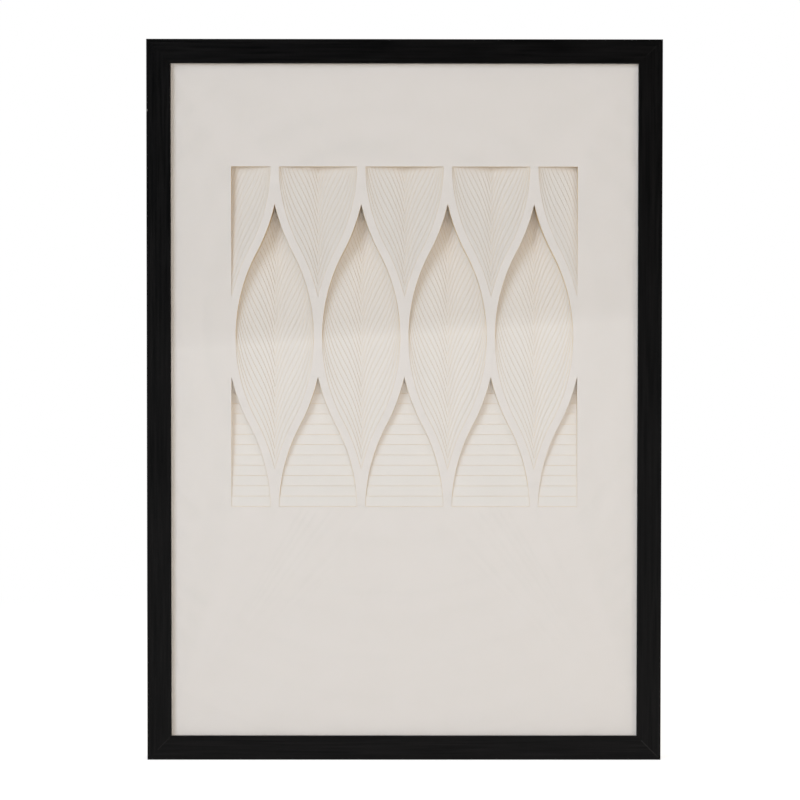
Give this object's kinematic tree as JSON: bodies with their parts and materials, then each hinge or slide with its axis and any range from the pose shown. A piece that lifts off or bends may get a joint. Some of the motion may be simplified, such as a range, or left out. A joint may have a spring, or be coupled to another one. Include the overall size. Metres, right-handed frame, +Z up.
{
  "type": "paper shadow box art",
  "caption": "Upright wall-hung shadow box frame in black wood with a glazed relief of stacked, cut ivory paper sheets in an ogee lattice under a wide plain margin",
  "frame": {"origin": "middle of the frame's bottom edge, at half its depth", "axes": "+Z up along the frame's height, -Y out of the glazed front, +Y towards the wall, +X to the right seen from the front"},
  "size_m": [0.5, 0.035, 0.7],
  "materials": {
    "black_wood": "satin black stain",
    "clear_glass": "clear, polished",
    "art_paper": "matte ivory",
    "brown_board": "plain fibreboard",
    "zinc_steel": "zinc plated"
  },
  "bodies": {
    "root": {"rail_top": "black_wood", "rail_bottom": "black_wood", "rail_left": "black_wood", "rail_right": "black_wood", "glazing": "clear_glass", "front_sheet": "art_paper", "cut_sheet_02": "art_paper", "cut_sheet_03": "art_paper", "cut_sheet_04": "art_paper", "cut_sheet_05": "art_paper", "cut_sheet_06": "art_paper", "cut_sheet_07": "art_paper", "cut_sheet_08": "art_paper", "cut_sheet_09": "art_paper", "cut_sheet_10": "art_paper", "cut_sheet_11": "art_paper", "cut_sheet_12": "art_paper", "cut_sheet_13": "art_paper", "cut_sheet_14": "art_paper", "cut_sheet_15": "art_paper", "cut_sheet_16": "art_paper", "cut_sheet_17": "art_paper", "cut_sheet_18": "art_paper", "cut_sheet_19": "art_paper", "cut_sheet_20": "art_paper", "cut_sheet_21": "art_paper", "cut_sheet_22": "art_paper", "cut_sheet_23": "art_paper", "cut_sheet_24": "art_paper", "cut_sheet_25": "art_paper", "cut_sheet_26": "art_paper", "base_sheet": "art_paper", "backing_board": "brown_board", "framer_points": "zinc_steel", "corner_v_nails": "zinc_steel", "hanger_plate_left": "zinc_steel", "hanger_plate_right": "zinc_steel", "hanger_screws": "zinc_steel"}
  },
  "joints": []
}
